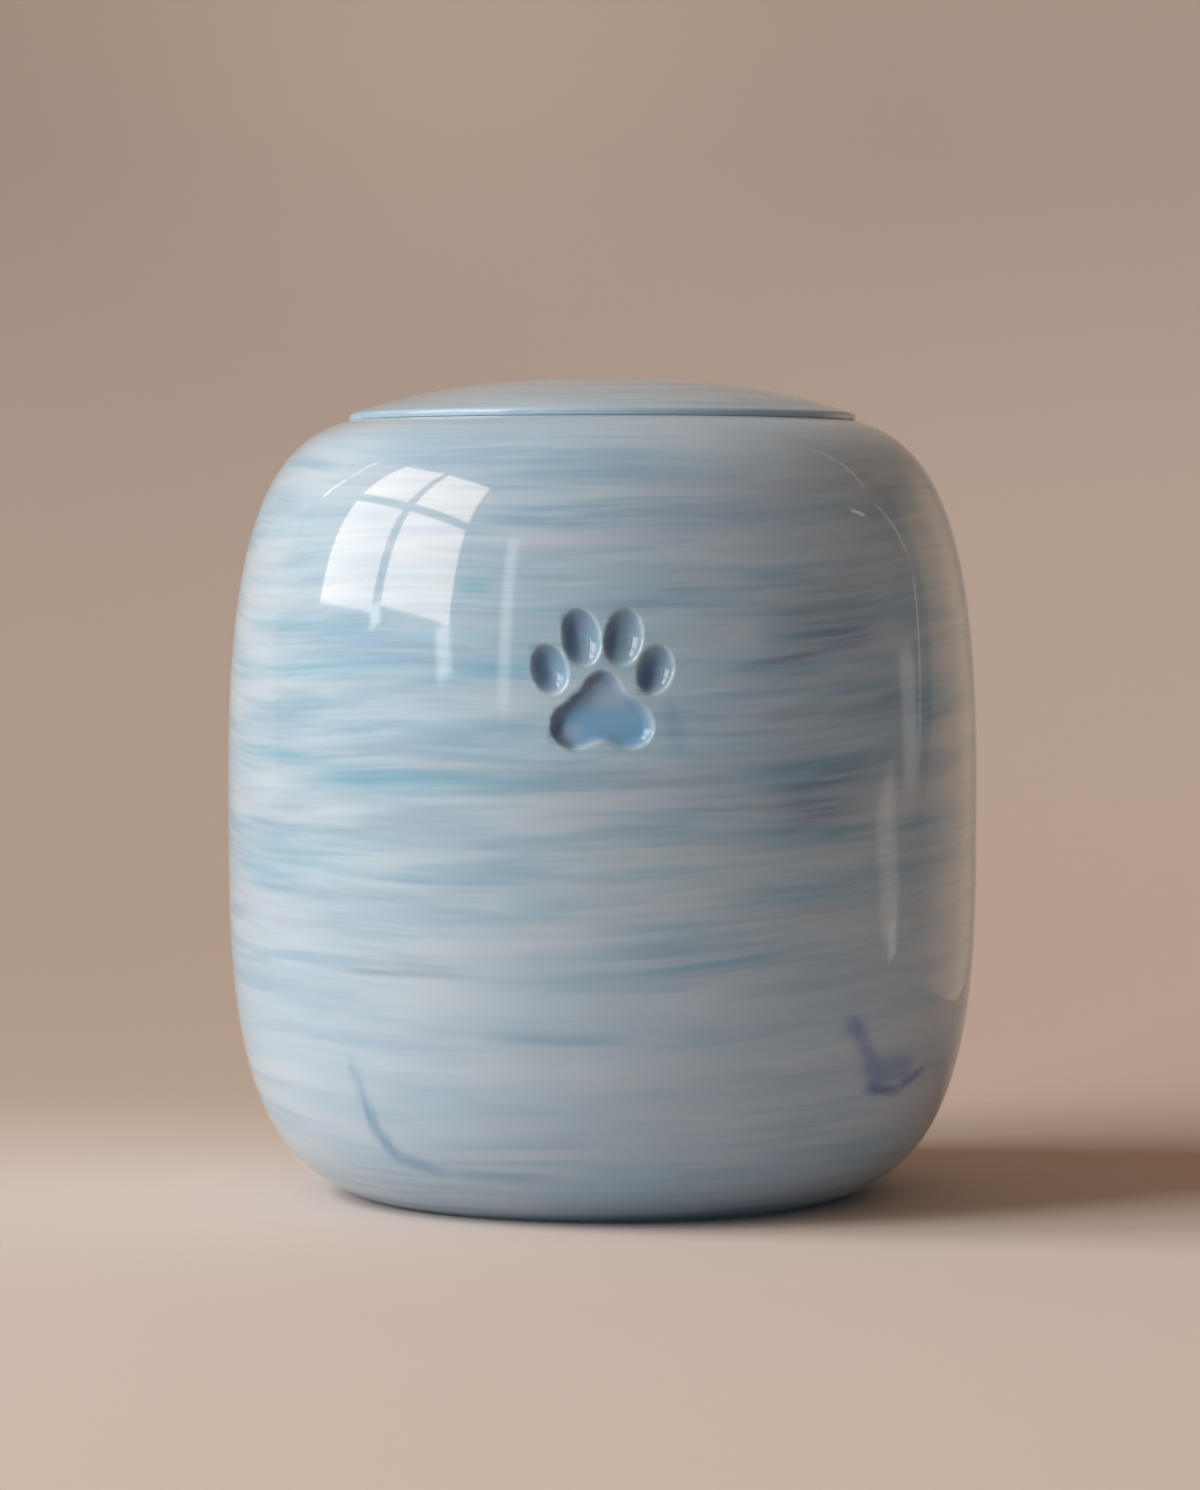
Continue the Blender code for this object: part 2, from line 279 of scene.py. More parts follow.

# Strokes inside the print: lilac, blue and teal on the pad, then painted shade in ink and navy, darkest
# down the left side of each hollow, where the window light from the left does not reach
PRINT_STROKES_AND_SHADE = (
    (0.4, -2.4, 4.2, 2.8, 0.0, "lilac", 0.55),
    (-6.0, -9.8, 2.6, 1.7, 0.0, "lilac", 0.45),
    (1.5, -8.6, 5.5, 0.7, 4.0, "blue", 0.30),
    (5.4, -10.2, 4.6, 2.4, 14.0, "teal", 0.40),
    # Painted shade from here on: dark strokes down the left walls of the pad and of each toe
    (-8.8, -8.6, 3.6, 1.2, 78.0, "ink", 0.80),
    (-8.8, -8.6, 3.6, 1.0, 78.0, "painted_shade_navy", 0.35),
    (-5.6, -3.8, 5.0, 1.1, 46.0, "ink", 0.9),
    (-1.6, 0.2, 2.4, 0.9, 36.0, "ink", 0.8),
    (-7.0, -12.0, 2.4, 0.8, -28.0, "ink", 0.7),
    (-6.2, 8.2, 5.0, 1.3, 99.0, "ink", 0.60),
    (-6.2, 8.2, 5.0, 1.3, 99.0, "painted_shade_navy", 0.60),
    (1.6, 8.0, 5.0, 1.3, 80.0, "ink", 0.90),
    (-11.9, 2.3, 4.2, 1.2, 104.0, "ink", 0.50),
    (-11.7, 2.3, 4.2, 1.4, 104.0, "painted_shade_navy", 0.50),
    (8.4, 1.6, 4.2, 1.5, 76.0, "ink", 0.75),
    (8.6, 0.8, 3.8, 1.6, 76.0, "painted_shade_navy", 0.65),
)

# Strokes scattered at random: the seed, their number, and the lowest and highest place of their middles,
# then how strong, long, wide and leaning they are
BODY_SCATTER = {"seed": 5, "count": 380, "places": (-105.0, 52.0)}
LID_SCATTER = {"seed": 11, "count": 60, "places": (0.0, LID_RADIUS / MM)}
SCATTER_STRENGTHS = (0.06, 0.22)
SCATTER_HALF_LENGTHS = (5.0, 24.0)
SCATTER_HALF_WIDTHS = (0.9, 4.0)
SCATTER_LEAN_SPREAD = 1.6
SCATTER_COLOURS = ("teal", "blue", "sky", "lilac")


class UrnBodySettings(PropertyGroup):
    """Sizes of the vessel and of its print."""
    wall: FloatProperty(name="Wall", description="Thickness of the wall", default=5 * MM, unit='LENGTH')
    floor: FloatProperty(
        name="Floor", description="Height of the inside floor", default=6 * MM, unit='LENGTH')
    mouth_radius: FloatProperty(
        name="Mouth radius", description="Radius of the opening under the lid", default=40 * MM,
        unit='LENGTH')
    print_height: FloatProperty(
        name="Print height", description="Height of the middle of the paw print", default=104.7 * MM,
        unit='LENGTH')
    toe_depth: FloatProperty(
        name="Toe depth", description="How far the toes are sunk", default=2.3 * MM, unit='LENGTH')
    toe_bowl: FloatProperty(name="Toe bowl", description="How early a toe's hollow levels out", default=2.2)
    pad_depth: FloatProperty(
        name="Pad depth", description="How far the pad is sunk", default=2.0 * MM, unit='LENGTH')
    pad_wall: FloatProperty(
        name="Pad wall", description="Width of the pad's sloping side", default=1.8 * MM, unit='LENGTH')
    pad_bowl: FloatProperty(name="Pad bowl", description="How early the pad's side levels out", default=1.6)
    print_edge: FloatProperty(
        name="Print edge", description="Share of each hollow's side that its rounded edge takes",
        default=0.22)
    rim: FloatProperty(
        name="Rim", description="How far the print's rounded rim spreads", default=0.45 * MM,
        unit='LENGTH')


class UrnLidSettings(PropertyGroup):
    """Sizes of the lid, whose heights are measured from the seat."""
    edge_rise: FloatProperty(
        name="Edge rise", description="Height of the dome where it meets the rim", default=1.4 * MM,
        unit='LENGTH')
    dome_power: FloatProperty(name="Dome power", description="How late the dome falls away", default=2.59)
    thickness: FloatProperty(name="Thickness", description="Of the dome", default=4.2 * MM, unit='LENGTH')
    clearance: FloatProperty(
        name="Clearance", description="Gap between lid and seat", default=0.08 * MM, unit='LENGTH')
    upper_round: FloatProperty(
        name="Upper round", description="Radius of the rim's upper edge", default=0.9 * MM, unit='LENGTH')
    lower_round: FloatProperty(
        name="Lower round", description="Radius of the rim's lower edge", default=0.2 * MM, unit='LENGTH')
    flange_radius: FloatProperty(
        name="Flange radius", description="Outside of the flange", default=39.4 * MM, unit='LENGTH')
    flange_width: FloatProperty(
        name="Flange width", description="Thickness of the flange", default=4 * MM, unit='LENGTH')
    flange_depth: FloatProperty(
        name="Flange depth", description="How far the flange reaches down", default=7.5 * MM, unit='LENGTH')


class UrnGlazeSettings(PropertyGroup):
    """Colours and finish of the brushed glaze."""
    pale: FloatVectorProperty(
        name="Pale", description="Where the glaze lies thin", default=(0.435, 0.52, 0.59), subtype='COLOR')
    # Partly painted light: the lid's pale glaze, made bluer to stand in for cooler light on its upward
    # face; it also paints the paler band round the body's shoulder
    lid_pale_and_cool_light: FloatVectorProperty(
        name="Pale on the lid", description="Where it lies thin on the lid", default=(0.38, 0.51, 0.63),
        subtype='COLOR')
    mist: FloatVectorProperty(
        name="Mist", description="The paler wash low on the body", default=(0.56, 0.65, 0.745),
        subtype='COLOR')
    sky: FloatVectorProperty(
        name="Sky", description="The watery blue wash", default=(0.345, 0.465, 0.555), subtype='COLOR')
    teal: FloatVectorProperty(
        name="Teal", description="Teal brush strokes", default=(0.15, 0.37, 0.48), subtype='COLOR')
    blue: FloatVectorProperty(
        name="Blue", description="Blue brush strokes", default=(0.19, 0.335, 0.47), subtype='COLOR')
    ink: FloatVectorProperty(
        name="Ink", description="Thin grey-blue strokes", default=(0.11, 0.165, 0.24), subtype='COLOR')
    indigo: FloatVectorProperty(
        name="Indigo", description="Indigo strokes", default=(0.13, 0.205, 0.42), subtype='COLOR')
    # Painted shade: the dark blue laid down the left walls of the toes and the pad, where the window light
    # does not reach
    painted_shade_navy: FloatVectorProperty(
        name="Navy", description="Blue that gathers down the toes' left sides", default=(0.085, 0.15, 0.31),
        subtype='COLOR')
    lilac: FloatVectorProperty(
        name="Lilac", description="Lilac patches", default=(0.41, 0.45, 0.55), subtype='COLOR')
    deep: FloatVectorProperty(
        name="Deep", description="Where it pools in the toes", default=(0.235, 0.365, 0.50),
        subtype='COLOR')
    pooled: FloatVectorProperty(
        name="Pooled", description="Where it pools on the pad", default=(0.175, 0.35, 0.56),
        subtype='COLOR')
    clay: FloatVectorProperty(
        name="Clay", description="Bare fired clay", default=(0.62, 0.56, 0.49), subtype='COLOR')
    lining: FloatVectorProperty(
        name="Lining", description="Clear glaze on the inside", default=(0.60, 0.60, 0.57), subtype='COLOR')
    roughness: FloatProperty(name="Roughness", description="Of the glazed surface", default=0.05)
    reflection: FloatProperty(
        name="Reflection", description="Strength of the glaze's reflection", default=0.40)
    contrast: FloatProperty(name="Contrast", description="Of the brushed streaks", default=1.0)
    lid_contrast: FloatProperty(name="Contrast on the lid", description="Of its streaks", default=0.5)
    waviness: FloatProperty(
        name="Waviness", description="How far the streaks stray", default=1.2 * MM, unit='LENGTH')
    tilt: FloatProperty(
        name="Tilt", description="How much lower the rings of streaks run at the front", default=0.075)
    rise: FloatProperty(name="Rise", description="How much higher they run on the right", default=0.04)
    heavier_side: FloatProperty(
        name="Heavier side", description="How much stronger the strokes are on the right", default=0.4)
    unevenness: FloatProperty(
        name="Unevenness", description="Height of the glaze's ripples", default=0.02 * MM, unit='LENGTH')


class UrnStageSettings(PropertyGroup):
    """Light, floor and camera."""
    window_light: FloatProperty(name="Window light", description="Radiance of the window", default=9.0)
    window_colour: FloatVectorProperty(
        name="Window colour", description="Colour of the daylight", default=(1.0, 0.965, 0.92),
        subtype='COLOR')
    pane_glow: FloatVectorProperty(
        name="Pane glow", description="Colour of the window's reflection", default=(1.0, 0.81, 0.69),
        subtype='COLOR')
    left_pane_glow: FloatProperty(
        name="Left pane glow", description="Radiance of the left panes' reflection", default=7.2)
    right_pane_glow: FloatProperty(
        name="Right pane glow", description="Radiance of the right panes' reflection", default=9.0)
    cool_gleam: FloatVectorProperty(
        name="Cool gleam", description="Gleams of daylight", default=(1.0, 0.95, 0.90), subtype='COLOR')
    warm_gleam: FloatVectorProperty(
        name="Warm gleam", description="Gleams from the paper", default=(1.0, 0.86, 0.74),
        subtype='COLOR')
    brown_gleam: FloatVectorProperty(
        name="Brown gleam", description="Gleam from the wall", default=(1.0, 0.70, 0.42),
        subtype='COLOR')
    low_room_colour: FloatVectorProperty(
        name="Low room colour", description="Dim light from level with the urn",
        default=(0.077, 0.089, 0.102), subtype='COLOR')
    front_room_colour: FloatVectorProperty(
        name="Front room colour", description="Cool daylight from low in front", default=(0.47, 0.98, 1.32),
        subtype='COLOR')
    high_room_colour: FloatVectorProperty(
        name="High room colour", description="Dim warm light from above", default=(0.36, 0.185, 0.08),
        subtype='COLOR')
    floor_colour: FloatVectorProperty(
        name="Floor colour", description="Colour of the pale floor", default=(0.62, 0.565, 0.54),
        subtype='COLOR')
    # Painted shade: the backdrop is darker on the left, against the window's stronger light there, and
    # lighter on the right
    left_shaded_colour: FloatVectorProperty(
        name="Left backdrop colour", description="Backdrop on the left", default=(0.385, 0.315, 0.27),
        subtype='COLOR')
    right_colour: FloatVectorProperty(
        name="Right backdrop colour", description="Backdrop on the right", default=(0.515, 0.425, 0.37),
        subtype='COLOR')
    top_tint: FloatVectorProperty(
        name="Top tint", description="Takes the backdrop's top warmer", default=(0.99, 0.93, 0.86),
        subtype='COLOR')
    # Painted light: a lighter pool on the backdrop above the urn
    painted_light_patch: FloatProperty(
        name="Patch", description="How much lighter the backdrop is above the urn", default=0.15)
    camera_distance: FloatProperty(
        name="Camera distance", description="From the lens to the urn's axis", default=1.004, unit='LENGTH')
    camera_height: FloatProperty(
        name="Camera height", description="Of the lens above the floor", default=0.1289, unit='LENGTH')
    camera_tilt: FloatProperty(
        name="Camera tilt", description="How far the camera looks down", default=0.039, subtype='ANGLE')


def piece_from(name, vertices, faces, material, node):
    """A smooth mesh piece that rides on the urn and stands for a CAD node."""
    mesh = bpy.data.meshes.new(name)
    mesh.from_pydata(vertices, [], faces)
    mesh.validate()
    mesh.shade_smooth()
    mesh.materials.append(material)
    piece = bpy.data.objects.new(name, mesh)
    bpy.context.scene.collection.objects.link(piece)
    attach(piece, "root")
    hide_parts(node)
    return piece


def mark_points(piece, name, values):
    """Keep one number per vertex under a name, for the material to read."""
    marks = piece.data.attributes.new(name, 'FLOAT', 'POINT')
    marks.data.foreach_set("value", [float(value) for value in values])


def mark_colours(piece, name, colours, amounts):
    """Keep one colour per vertex with its amount as alpha, for the material to read."""
    marks = piece.data.attributes.new(name, 'FLOAT_COLOR', 'POINT')
    marks.data.foreach_set("color", np.column_stack((colours, amounts)).astype(np.float32).ravel())


def smooth(values):
    """A smooth step of values between 0 and 1."""
    clipped = np.clip(values, 0, 1)
    return clipped * clipped * (3 - 2 * clipped)


def scattered_strokes(scatter, glaze):
    """Brush strokes all round a piece, lying along the tilted rings that the brush ran in."""
    chance = Random(scatter["seed"])
    strokes = []
    for _ in range(scatter["count"]):
        angle = chance.uniform(-pi, pi)
        slope = glaze.rise * cos(angle) + glaze.tilt * sin(angle)
        strength = chance.uniform(*SCATTER_STRENGTHS) * (1 + glaze.heavier_side * sin(angle))
        place = chance.uniform(*scatter["places"])
        half_length = chance.uniform(*SCATTER_HALF_LENGTHS)
        half_width = chance.uniform(*SCATTER_HALF_WIDTHS)
        lean = degrees(slope) + chance.gauss(0, SCATTER_LEAN_SPREAD)
        paint = chance.choice(SCATTER_COLOURS)
        strokes.append((angle * BELLY_RADIUS / MM, place, half_length, half_width, lean, paint, strength))
    return strokes


def brushwork(across, up, strokes, glaze):
    """Colours and amounts of strokes laid over one another at these places, in metres across and up."""
    colours = np.tile(np.array(glaze.sky), (len(across), 1))
    amounts = np.zeros(len(across))
    round_trip = 2 * pi * BELLY_RADIUS
    for middle, height, half_length, half_width, lean, paint, strength in strokes:
        aside = (across - middle * MM + round_trip / 2) % round_trip - round_trip / 2
        above = up - height * MM
        turn = radians(lean)
        along = np.abs(aside * cos(turn) + above * sin(turn)) / (half_length * MM)
        beside = np.abs(above * cos(turn) - aside * sin(turn)) / (half_width * MM)
        ends = smooth((STROKE_END - along) / STROKE_END_FADE)
        sides = smooth((STROKE_SIDE - beside) / STROKE_SIDE_FADE)
        amount = strength * ends * sides
        total = amount + amounts * (1 - amount)
        share = (amount / np.maximum(total, 1e-6))[:, None]
        colours = colours * (1 - share) + np.array(getattr(glaze, paint)) * share
        amounts = total
    return colours, amounts


def oval_arc(radius, reach, side, end, rise, rows):
    """Points (radius, rise) of a squared oval from its widest place to the given rise."""
    last = asin(min(1.0, rise / reach) ** (end / 2))
    angles = [last * row / rows for row in range(rows + 1)]
    return [(radius * cos(a) ** (2 / side), reach * sin(a) ** (2 / end)) for a in angles]


def outer_radius(height):
    """Radius of the body's outer surface at a height."""
    rise = height - BELLY_HEIGHT
    curve = SHOULDER if rise > 0 else BOWL
    return BELLY_RADIUS * (1 - (abs(rise) / curve["reach"]) ** curve["end"]) ** (1 / curve["side"])


def hollow_share(inwards, edge, bowl):
    """How far a hollow has sunk as one goes inwards from 0 to 1: over a rounded edge, down, and level."""
    inwards = np.clip(inwards, 0, 1)
    rounded = np.clip(inwards / edge, 0, 1)
    return (1 - (1 - inwards) ** bowl) * rounded * rounded * (3 - 2 * rounded)


def toe_share(across, up, toe, side, settings):
    """How far one toe of the print has sunk at these places, up to 1: a bowl with a rounded rim."""
    lean = side * toe["lean"]
    aside = across - side * toe["across"]
    above = up - toe["up"]
    x = aside * cos(lean) - above * sin(lean)
    y = aside * sin(lean) + above * cos(lean)
    inside = (1 - np.hypot(x / toe["wide"], y / toe["tall"])) * toe["wide"]
    inwards = (inside + settings.rim) / (toe["wide"] + settings.rim)
    return hollow_share(inwards, settings.print_edge, settings.toe_bowl)


def pad_field(across, up):
    """Less than nothing inside the pad's edge, which three discs make where they melt together."""
    def melt(first, second):
        near = np.maximum(PAD_BLEND - np.abs(first - second), 0.0) / PAD_BLEND
        return np.minimum(first, second) - near * near * PAD_BLEND / 4
    field = np.hypot(across, up - PAD_TOP["up"]) - PAD_TOP["radius"]
    for side in (-1, 1):
        lobe = np.hypot(across - side * PAD_LOBE["across"], up - PAD_LOBE["up"]) - PAD_LOBE["radius"]
        field = melt(field, lobe)
    return field


def pad_outline():
    """Points across and up along the pad's edge, found outwards from its middle."""
    angles = np.linspace(0, 2 * pi, PAD_POINTS, endpoint=False)
    near = np.zeros(PAD_POINTS)
    far = np.full(PAD_POINTS, PAD_REACH)
    for _ in range(PAD_HALVINGS):
        middle = (near + far) / 2
        inside = pad_field(middle * np.cos(angles), PAD_MIDDLE_UP + middle * np.sin(angles)) < 0
        near = np.where(inside, middle, near)
        far = np.where(inside, far, middle)
    return near * np.cos(angles), PAD_MIDDLE_UP + near * np.sin(angles)


def pad_share(across, up, settings):
    """How far the pad has sunk at these places, up to 1: a sloping side and a flat floor."""
    edge_x, edge_y = pad_outline()
    next_x, next_y = np.roll(edge_x, -1), np.roll(edge_y, -1)
    distance = np.full(across.shape, PRINT_REACH)
    near = np.hypot(across, up - PAD_MIDDLE_UP) < PRINT_REACH
    for x, y, end_x, end_y in zip(edge_x, edge_y, next_x, next_y):
        run_x, run_y = end_x - x, end_y - y
        along = ((across[near] - x) * run_x + (up[near] - y) * run_y) / (run_x ** 2 + run_y ** 2)
        along = np.clip(along, 0, 1)
        gap = np.hypot(across[near] - x - along * run_x, up[near] - y - along * run_y)
        distance[near] = np.minimum(distance[near], gap)
    distance = np.where(pad_field(across, up) < 0, -distance, distance)
    inwards = (settings.rim - distance) / (settings.pad_wall + settings.rim)
    return hollow_share(inwards, settings.print_edge, settings.pad_bowl)


def turned_mesh(profile, angles):
    """Vertices and faces of a solid whose profile starts and ends on the axis, one column per angle."""
    vertices = []
    faces = []
    columns = len(angles)
    for radius, height in profile[1:-1]:
        vertices += [(radius * sin(a), -radius * cos(a), height) for a in angles]
    start = len(vertices)
    vertices.append((0.0, 0.0, profile[0][1]))
    vertices.append((0.0, 0.0, profile[-1][1]))
    rows = len(profile) - 2
    for here in range(columns):
        after = (here + 1) % columns
        faces.append((start, here, after))
        faces.append((start + 1, (rows - 1) * columns + after, (rows - 1) * columns + here))
        for row in range(rows - 1):
            upper = row * columns
            lower = upper + columns
            faces.append((upper + here, lower + here, lower + after, upper + after))
    return vertices, faces


def wall_heights(print_height):
    """Heights of the rows down the outside: closest across the print, and close enough for strokes."""
    neck = SEAT_HEIGHT - BELLY_HEIGHT
    above = oval_arc(1.0, SHOULDER["reach"], SHOULDER["side"], SHOULDER["end"], neck, ARC_ROWS)
    below = oval_arc(1.0, BOWL["reach"], BOWL["side"], BOWL["end"], BELLY_HEIGHT, ARC_ROWS)
    heights = [BELLY_HEIGHT + rise for _, rise in above] + [BELLY_HEIGHT - rise for _, rise in below[1:]]
    heights += [row * WALL_ROW for row in range(1, int(SEAT_HEIGHT / WALL_ROW))]
    heights = sorted(height for height in heights if abs(height - print_height) > PRINT_REACH)
    spaced = [heights[0]]
    for height in heights[1:]:
        if height - spaced[-1] > CLOSEST_ROWS or height == heights[-1]:
            spaced.append(height)
    cells = round(2 * PRINT_REACH / PRINT_CELL)
    spaced += [print_height - PRINT_REACH + 2 * PRINT_REACH * cell / cells for cell in range(cells + 1)]
    return sorted(spaced, reverse=True)


def column_angles(radius):
    """Angles of the columns round the body from the front: closest across the print, widest behind."""
    reach = PRINT_REACH / radius
    cells = round(2 * PRINT_REACH / PRINT_CELL)
    near = [-reach + 2 * reach * cell / cells for cell in range(cells + 1)]
    side = [reach + (pi / 2 - reach) * column / FRONT_COLUMNS for column in range(1, FRONT_COLUMNS)]
    back = [pi / 2 + pi * column / BACK_COLUMNS for column in range(BACK_COLUMNS + 1)]
    return near + side + back + [2 * pi - angle for angle in reversed(side)]


def hollow_profile(settings):
    """The inside, from the middle of the floor up to the rounded edge of the mouth."""
    hollow_radius = BELLY_RADIUS - settings.wall
    floor_reach = BELLY_HEIGHT - settings.floor
    bowl = oval_arc(hollow_radius, floor_reach, BOWL["side"], BOWL["end"], floor_reach, HOLLOW_ROWS)
    neck_reach = SHOULDER["reach"] - settings.wall
    narrow = 1 - (settings.mouth_radius / hollow_radius) ** SHOULDER["side"]
    neck_rise = neck_reach * narrow ** (1 / SHOULDER["end"])
    neck = oval_arc(hollow_radius, neck_reach, SHOULDER["side"], SHOULDER["end"], neck_rise, HOLLOW_ROWS)
    profile = [(0.0, settings.floor)]
    profile += [(radius, BELLY_HEIGHT - rise) for radius, rise in reversed(bowl[:-1])]
    profile += [(radius, BELLY_HEIGHT + rise) for radius, rise in neck[1:]]
    for row in range(ROUND_ROWS + 1):
        turn = pi / 2 * row / ROUND_ROWS
        radius = settings.mouth_radius + MOUTH_ROUND * (1 - cos(turn))
        profile.append((radius, SEAT_HEIGHT - MOUTH_ROUND * (1 - sin(turn))))
    return profile


def outside_profile(settings):
    """The outside, from the seat down the wall, then under the foot ring to the axis."""
    profile = [(LID_RADIUS - FOOT_ROUND, SEAT_HEIGHT)]
    profile += [(outer_radius(height), height) for height in wall_heights(settings.print_height)]
    flat = outer_radius(0.0) - FOOT_ROUND
    profile[-1] = (outer_radius(FOOT_ROUND), FOOT_ROUND)
    for row in range(1, ROUND_ROWS + 1):
        turn = pi / 2 * row / ROUND_ROWS
        profile.append((flat + FOOT_ROUND * cos(turn), FOOT_ROUND * (1 - sin(turn))))
    profile.append((FOOT_INNER_RADIUS + FOOT_ROUND, 0.0))
    profile.append((FOOT_INNER_RADIUS, FOOT_ROUND / 2))
    profile.append((FOOT_INNER_RADIUS - FOOT_RECESS, FOOT_RECESS))
    profile.append((0.0, FOOT_RECESS))
    return profile


def lid_profile(settings):
    """The lid: the dome, the rim, the bearing, the flange and the underside."""
    def dome(radius):
        return LID_RISE - (LID_RISE - settings.edge_rise) * (radius / LID_RADIUS) ** settings.dome_power
    lean = atan2(1.0, (LID_RISE - settings.edge_rise) * settings.dome_power / LID_RADIUS)
    shoulder = LID_RADIUS - settings.upper_round * (1 - cos(lean))
    nose = dome(shoulder) - settings.upper_round * sin(lean)
    outer = settings.flange_radius
    inner = outer - settings.flange_width
    foot = -settings.flange_depth
    small = settings.lower_round
    points = []
    for row in range(DOME_ROWS + 1):
        radius = shoulder * row / DOME_ROWS
        points.append((radius, dome(radius)))
    for row in range(1, ROUND_ROWS + 1):
        turn = lean * (1 - row / ROUND_ROWS)
        radius = LID_RADIUS - settings.upper_round * (1 - cos(turn))
        points.append((radius, nose + settings.upper_round * sin(turn)))
    for row in range(ROUND_ROWS + 1):
        turn = pi / 2 * row / ROUND_ROWS
        radius = LID_RADIUS - small * (1 - cos(turn))
        points.append((radius, settings.clearance + small * (1 - sin(turn))))
    points += [
        (outer + small, settings.clearance),
        (outer, settings.clearance - small),
        (outer, foot + 2 * small),
        (outer - small / 2, foot + small / 2),
        (outer - 2 * small, foot),
        (inner + small, foot),
        (inner, foot + small)]
    for row in range(SOFFIT_ROWS + 1):
        radius = inner * (1 - row / SOFFIT_ROWS)
        points.append((radius, dome(radius) - settings.thickness))
    return [(radius, SEAT_HEIGHT + rise) for radius, rise in points]


def add_node(tree, kind, **options):
    """Add a shader node and set its options."""
    item = tree.nodes.new(kind)
    for name, value in options.items():
        setattr(item, name, value)
    return item


def feed(tree, socket, value):
    """Join a socket to another one, or give it a number, a vector or a colour."""
    if isinstance(value, bpy.types.NodeSocket):
        tree.links.new(value, socket)
    elif socket.type == 'RGBA':
        socket.default_value = (*value, 1.0)
    else:
        socket.default_value = value


def calculate(tree, operation, *values):
    """The result of a sum on one, two or three values."""
    item = add_node(tree, 'ShaderNodeMath', operation=operation)
    for socket, value in zip(item.inputs, values):
        feed(tree, socket, value)
    return item.outputs[0]


def calculate_vector(tree, operation, *values):
    """The result of a sum on one or two vectors."""
    item = add_node(tree, 'ShaderNodeVectorMath', operation=operation)
    for socket, value in zip(item.inputs, values):
        feed(tree, socket, value)
    return item.outputs["Vector"]


def joined_vector(tree, *values):
    """A vector made of three numbers."""
    item = add_node(tree, 'ShaderNodeCombineXYZ')
    for socket, value in zip(item.inputs, values):
        feed(tree, socket, value)
    return item.outputs[0]


def blend(tree, share, first, second, method='MIX'):
    """One colour laid over another."""
    item = add_node(tree, 'ShaderNodeMix', data_type='RGBA', blend_type=method)
    feed(tree, item.inputs["Factor"], share)
    feed(tree, item.inputs["A"], first)
    feed(tree, item.inputs["B"], second)
    return item.outputs["Result"]


def step_between(tree, value, low, high, first=0.0, last=1.0):
    """A smooth step from the first number to the last as the value goes from low to high."""
    item = add_node(tree, 'ShaderNodeMapRange', interpolation_type='SMOOTHSTEP')
    for label, number in (
            ("Value", value), ("From Min", low), ("From Max", high), ("To Min", first), ("To Max", last)):
        feed(tree, item.inputs[label], number)
    return item.outputs[0]


def noise(tree, place, patches, detail=2.0):
    """Cloudy noise with this many patches to the metre, around the piece and along its profile."""
    around, along = patches
    item = add_node(tree, 'ShaderNodeTexNoise', noise_dimensions='3D')
    feed(tree, item.inputs["Vector"], calculate_vector(tree, 'MULTIPLY', place, (around, around, along)))
    feed(tree, item.inputs["Scale"], 1.0)
    feed(tree, item.inputs["Detail"], detail)
    return item.outputs[0]


def new_group(name, inputs, outputs):
    """A shader node group with named inputs and outputs, given as their kinds and labels."""
    tree = bpy.data.node_groups.new(name, 'ShaderNodeTree')
    for way, sockets in (('INPUT', inputs), ('OUTPUT', outputs)):
        for kind, label in sockets:
            tree.interface.new_socket(label, in_out=way, socket_type='NodeSocket' + kind)
    given = tree.nodes.new('NodeGroupInput').outputs
    made = tree.nodes.new('NodeGroupOutput').inputs
    return tree, given, made


def use_group(tree, group, values):
    """Put a node group to use with these values."""
    item = add_node(tree, 'ShaderNodeGroup', node_tree=group)
    for label, value in values.items():
        feed(tree, item.inputs[label], value)
    return item.outputs


def turned_place_group():
    """Where a point lies on a turned piece, so that streaks run round it as a brush does on a wheel."""
    tree, given, made = new_group(
        "Turned place",
        [("Vector", "Place"), ("Float", "Widest Radius"), ("Float", "Widest Height"), ("Vector", "Tilt")],
        [("Vector", "Streak Place")])
    parts = add_node(tree, 'ShaderNodeSeparateXYZ')
    feed(tree, parts.inputs[0], given["Place"])
    x, y, z = parts.outputs
    flat = calculate(tree, 'MULTIPLY', x, x)
    radius = calculate(tree, 'SQRT', calculate(tree, 'MULTIPLY_ADD', y, y, flat))
    narrowing = calculate(tree, 'SUBTRACT', given["Widest Radius"], radius)
    side = calculate(tree, 'SIGN', calculate(tree, 'SUBTRACT', z, given["Widest Height"]))
    along = calculate(tree, 'MULTIPLY_ADD', side, narrowing, z)
    lean = add_node(tree, 'ShaderNodeVectorMath', operation='DOT_PRODUCT')
    feed(tree, lean.inputs[0], given["Place"])
    feed(tree, lean.inputs[1], given["Tilt"])
    tilted = calculate(tree, 'SUBTRACT', along, lean.outputs["Value"])
    feed(tree, made["Streak Place"], joined_vector(tree, x, y, tilted))
    return tree


